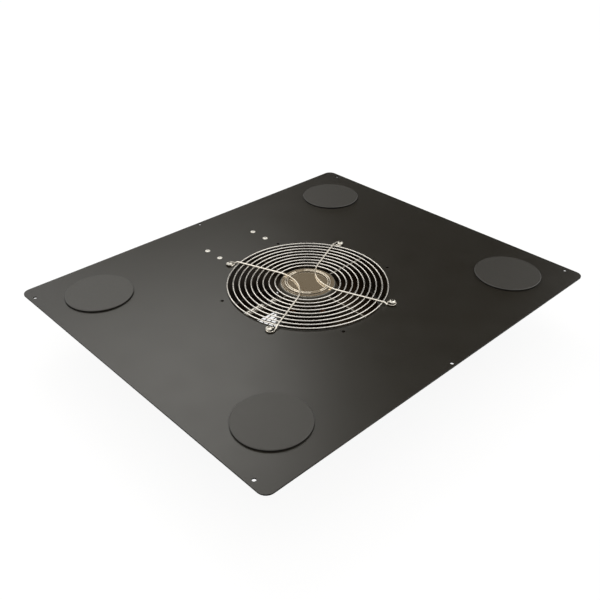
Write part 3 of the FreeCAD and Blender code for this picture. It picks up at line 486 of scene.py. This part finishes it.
def dress_sheet():
    """Painted shade on the cut edges of the panel and on the side walls of the plugs."""
    dress_faces("top_panel", powder_coat_edge_shade(), is_side)
    plug_side_shade = plug_edge_shade()
    for node in frame["nodes"]:
        if node.startswith("cable_hole_plug"):
            dress_faces(node, plug_side_shade, is_side)


def dress_fan():
    """Painted highlights on the top edges of the struts and on the trough's lip, painted shade on the leads
    nearer the hub and on the motor cap's rounded edge, and a greyer colour for the second lead.
    """
    # Paler greys over the black paint: painted highlights along edges that catch the light.
    painted_highlight_edge = cast_paint("painted_highlight_edge", (0.30, 0.285, 0.25), 0.5)
    faint_painted_highlight = cast_paint("faint_painted_highlight", (0.11, 0.105, 0.09), 0.5)
    dress_faces("fan_housing", painted_highlight_edge, is_highlit_strut)
    dress_faces("fan_housing", painted_highlight_edge, is_trough_lip)
    dress_faces("fan_housing", faint_painted_highlight, is_left_strut)
    # Painted shade: the leads are near-black nearer the hub than the trough, except at the saddle.
    dress_faces("motor_leads", moulding("lead_painted_shade", (0.012, 0.011, 0.010), 0.6, 0.001), is_shaded_lead)
    dress_faces("motor_leads", moulding("second_lead", (0.72, 0.66, 0.57), 0.4, 0.001), is_second_lead)
    # Painted shade: the motor cap's rounded edge is dark and matte, without its metal's highlight.
    dress_faces("motor_cap", moulding("cap_shoulder_shade", (0.13, 0.12, 0.095), 0.55, 0.001), is_shoulder)


def dress_guard():
    """Painted light on the upper guard: brighter support legs, a warm painted reflection over the motor
    cap, and painted shade on two stretches of the centre rings, on their undersides and on the eyes'
    undersides. A later finish lies over an earlier one where both are chosen.
    """
    # Painted light: the support legs get a brighter, less metallic copy of the wire's plate.
    dress_faces("upper_guard", bright_wire("support_wire_lit", (0.84, 0.79, 0.70), 0.55), is_support_leg)
    # Painted reflection: over the motor cap the wire takes the cap's warm tone.
    dress_faces("upper_guard", bright_wire("wire_cap_reflection", (0.66, 0.585, 0.47)), is_over_cap)
    dress_faces("upper_guard", bright_wire("ring_painted_shade", (0.27, 0.22, 0.155)), is_shaded_stretch)
    dress_faces("upper_guard", cast_paint("ring_underside_shade", (0.13, 0.11, 0.08), 0.6, 0.1), is_ring_underside)
    dress_faces("upper_guard", cast_paint("eye_underside_shade", (0.035, 0.03, 0.024), 0.6, 0.1), is_eye_underside)


def dress_screws(plate):
    """The wiring box's screws in their own plate, and the shaded recesses of the screws seen from above."""
    recess = cast_paint("recess_shade", (0.05, 0.046, 0.038), 0.6, 0.1)
    frame["nodes"]["wiring_box_screws"].data.materials[0] = plate
    dress_recess("upper_guard_screws", GUARD_SCREW_RECESS_DEPTH, recess)
    dress_recess("wiring_box_screws", BOX_SCREW_RECESS_DEPTH, recess)


# ---------------------------------------------------------------- new objects
def add_object(name, data):
    """A new object in the scene."""
    piece = bpy.data.objects.new(name, data)
    bpy.context.scene.collection.objects.link(piece)
    return piece


def add_mesh(name, points, faces, finish):
    """A new mesh object with one finish."""
    mesh = bpy.data.meshes.new(name)
    mesh.from_pydata(points, [], faces)
    mesh.update()
    mesh.materials.append(finish)
    return add_object(name, mesh)


# ---------------------------------------------------------------- screw threads and flanges
def centres_in_plan(node):
    """The (x, y) centre of each screw or nut of a node. They lie further apart than SCREW_SPACE."""
    groups = []
    for vertex in frame["nodes"][node].data.vertices:
        near = [group for group in groups if math.dist(group[0], vertex.co[:2]) < SCREW_SPACE]
        if near:
            near[0].append(vertex.co[:2])
        else:
            groups.append([vertex.co[:2]])
    return [[(min(side) + max(side)) / 2 for side in zip(*group)] for group in groups]


def point_round(centre, radius, turn, height):
    """A point at that radius and turn about an upright axis through centre."""
    return centre[0] + radius * math.cos(turn), centre[1] + radius * math.sin(turn), height


def turned_ring(name, centre, profile, finish):
    """A closed ring turned round an upright axis through centre, from (radius, height) points."""
    steps = 32
    size = len(profile)
    points = []
    faces = []
    for step in range(steps):
        turn = 2 * math.pi * step / steps
        first = step * size
        second = (step + 1) % steps * size
        for radius, height in profile:
            points.append(point_round(centre, radius, turn, height))
        for side in range(size):
            following = (side + 1) % size
            faces.append((first + side, second + side, second + following, first + following))
    return add_mesh(name, points, faces, finish)


def box_screw_flanges(finish):
    """The low flange round each small screw head on the panel."""
    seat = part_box("top_panel")[1].z
    outline = [(3.0, 0.0), (4.0, 0.0), (4.2, 0.3), (3.9, 0.75), (3.0, 1.0)]
    profile = [(radius * MILLIMETRE, seat + height * MILLIMETRE) for radius, height in outline]
    for number, centre in enumerate(centres_in_plan("wiring_box_screws")):
        piece = turned_ring(f"box_screw_flange_{number}", centre, profile, finish)
        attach(piece, "frame")


def thread(name, centre, bottom, top, finish):
    """A helical ridge round a screw's shank, between two heights, which fades out at both ends."""
    steps_in_turn = 24
    fade_steps = 8
    count = int((top - bottom) / SCREW_PITCH * steps_in_turn)
    ridge = 0.13 * SCREW_SHANK_RADIUS
    half_width = 0.42 * SCREW_PITCH
    sunk = 0.1 * MILLIMETRE
    corners = 3
    points = []
    faces = []
    for step in range(count + 1):
        turn = 2 * math.pi * step / steps_in_turn
        middle = bottom + half_width + (top - bottom - 2 * half_width) * step / count
        fade = min(1.0, step / fade_steps, (count - step) / fade_steps)
        for reach, rise in ((-sunk, -half_width), (ridge * fade, 0.0), (-sunk, half_width)):
            points.append(point_round(centre, SCREW_SHANK_RADIUS + reach, turn, middle + rise))
    for step in range(count):
        first = step * corners
        second = first + corners
        for side in range(corners):
            following = (side + 1) % corners
            faces.append((first + side, first + following, second + following, second + side))
    last = count * corners
    faces.append((0, 2, 1))
    faces.append((last, last + 1, last + 2))
    return add_mesh(name, points, faces, finish)


def screw_threads(finish):
    """Threads on the ends of the guard screws, where they stand out of their nuts."""
    spans = {
        "upper": (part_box("upper_guard_screws")[0].z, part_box("upper_guard_nuts")[0].z),
        "lower": (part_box("lower_guard_nuts")[1].z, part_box("lower_guard_screws")[1].z),
    }
    for guard, (bottom, top) in spans.items():
        for number, centre in enumerate(centres_in_plan(f"{guard}_guard_nuts")):
            piece = thread(f"{guard}_screw_thread_{number}", centre, bottom, top, finish)
            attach(piece, "frame")


# ---------------------------------------------------------------- floor, light and camera
def seen_directly(tree):
    """1 for a ray that shows the background: from the camera, a reflection or through glass."""
    path = add_node(tree, "ShaderNodeLightPath")
    total = path.outputs["Is Camera Ray"]
    for name in ("Is Glossy Ray", "Is Transmission Ray"):
        step = add_node(tree, "ShaderNodeMath", operation="MAXIMUM")
        tree.links.new(total, step.inputs[0])
        tree.links.new(path.outputs[name], step.inputs[1])
        total = step.outputs["Value"]
    return total


def light_world():
    """A plain pale sky: white where it is seen, a little less as light."""
    world = bpy.data.worlds.new("studio")
    bpy.context.scene.world = world
    world.use_nodes = True
    tree = world.node_tree
    mix = add_node(tree, "ShaderNodeMix", data_type="RGBA")
    mix.inputs["A"].default_value = SKY_LIGHT
    mix.inputs["B"].default_value = WHITE
    tree.links.new(seen_directly(tree), mix.inputs["Factor"])
    tree.links.new(mix.outputs["Result"], tree.nodes["Background"].inputs["Color"])


def bare_tree(material):
    """The material's node tree with only its output."""
    material.use_nodes = True
    material.node_tree.nodes.remove(material.node_tree.nodes["Principled BSDF"])
    return material.node_tree


def plain_shader(tree, kind, color):
    """A shader node of one colour."""
    made = add_node(tree, kind)
    made.inputs["Color"].default_value = (*color, 1.0)
    return made


def mixed(tree, amount, first, second):
    """The first shader where amount is 0, and the second where it is 1."""
    made = add_node(tree, "ShaderNodeMixShader")
    tree.links.new(amount, made.inputs["Fac"])
    tree.links.new(first, made.inputs[1])
    tree.links.new(second, made.inputs[2])
    return made.outputs["Shader"]


def floor_material():
    """White as seen, with a trace of shading so that the object's shadow stays, and clear from below."""
    material = bpy.data.materials.new("studio_floor")
    tree = bare_tree(material)
    pale = plain_shader(tree, "ShaderNodeBsdfDiffuse", (0.8, 0.8, 0.79))
    faint = plain_shader(tree, "ShaderNodeBsdfDiffuse", (0.14, 0.14, 0.14))
    glow = plain_shader(tree, "ShaderNodeEmission", (0.9, 0.9, 0.9))
    shown = add_node(tree, "ShaderNodeAddShader")
    tree.links.new(faint.outputs["BSDF"], shown.inputs[0])
    tree.links.new(glow.outputs["Emission"], shown.inputs[1])
    front = mixed(tree, seen_directly(tree), pale.outputs["BSDF"], shown.outputs["Shader"])
    clear = add_node(tree, "ShaderNodeBsdfTransparent")
    side = add_node(tree, "ShaderNodeNewGeometry")
    both = mixed(tree, side.outputs["Backfacing"], front, clear.outputs["BSDF"])
    tree.links.new(both, tree.nodes["Material Output"].inputs["Surface"])
    return material


def glow_material(name, shade):
    """Plain light of one colour, where 1 is white."""
    material = bpy.data.materials.new(name)
    tree = bare_tree(material)
    glow = plain_shader(tree, "ShaderNodeEmission", shade)
    tree.links.new(glow.outputs["Emission"], tree.nodes["Material Output"].inputs["Surface"])
    return material


def board(name, width, height, finish):
    """A flat rectangle in its own XY plane, which isn't part of the object."""
    x = width / 2
    y = height / 2
    piece = add_mesh(name, [(-x, -y, 0), (x, -y, 0), (x, y, 0), (-x, y, 0)], [(0, 1, 2, 3)], finish)
    return piece


def lay_floor():
    """The floor just under the object."""
    floor = board("floor", FLOOR_SIDE, FLOOR_SIDE, floor_material())
    floor.location.z = cad_low.z - FLOOR_GAP


def direction(azimuth, elevation):
    """A unit vector from the object, by its azimuth and elevation in degrees."""
    turn = math.radians(azimuth)
    rise = math.radians(elevation)
    return Vector((math.cos(turn) * math.cos(rise), math.sin(turn) * math.cos(rise), math.sin(rise)))


def face_object(piece, azimuth, elevation, distance):
    """Stands a lamp, card or camera that way from the object's origin, facing it."""
    away = direction(azimuth, elevation)
    piece.location = away * distance
    piece.rotation_mode = "QUATERNION"
    piece.rotation_quaternion = away.to_track_quat("Z", "Y")


def soft_lamp(name, azimuth, elevation, distance, size, radiance, color):
    """A square soft box. Radiance is the brightness of its face, where 1 is white."""
    data = bpy.data.lights.new(name, "AREA")
    data.shape = "SQUARE"
    data.size = size
    data.energy = radiance * math.pi * size * size
    data.color = color
    face_object(add_object(name, data), azimuth, elevation, distance)


def card(name, azimuth, elevation, distance, width, height, shade):
    """A card that only gloss reflects, dark or bright. It gives no shade and isn't seen itself."""
    piece = board(name, width, height, glow_material(name, shade))
    face_object(piece, azimuth, elevation, distance)
    piece.visible_camera = False
    piece.visible_diffuse = False
    piece.visible_shadow = False
    piece.visible_transmission = False


def set_lamps():
    """A soft box and two dark cards behind, and a bright card on each side."""
    soft_lamp("back_left_box", 65.5, 46.5, 2.4, 1.15, 3.35, (1.0, 0.99, 0.95))
    card("back_flag", 43.5, 44.4, 3.0, 3.3, 4.15, (0.004, 0.003, 0.002))
    card("cap_card", 46.5, 33.0, 2.9, 0.45, 0.45, (0.075, 0.0475, 0.011))
    card("right_card", -40.0, 50.0, 2.4, 2.3, 2.9, (2.3, 2.28, 2.22))
    card("left_card", 160.0, 48.0, 2.4, 1.9, 1.6, (2.4, 2.37, 2.30))


def set_camera():
    """The camera, aimed a little in front of the panel's centre."""
    data = bpy.data.cameras.new("camera")
    data.lens = CAMERA_LENS
    data.sensor_width = SENSOR_WIDTH
    data.clip_start = 0.01
    data.clip_end = 100.0
    camera = add_object("camera", data)
    face_object(camera, CAMERA_AZIMUTH, CAMERA_ELEVATION, CAMERA_DISTANCE)
    camera.location += CAMERA_AIM
    bpy.context.scene.camera = camera


# ---------------------------------------------------------------- the scene
finishes = dress_nodes()
dress_sheet()
dress_fan()
dress_guard()
satin_plate = plated("satin_plate", (0.80, 0.78, 0.71), 0.4, 0.2)
dress_screws(satin_plate)
box_screw_flanges(satin_plate)
screw_threads(finishes["screw_nickel"])
light_world()
lay_floor()
set_lamps()
set_camera()
bpy.context.scene.view_settings.view_transform = "Standard"
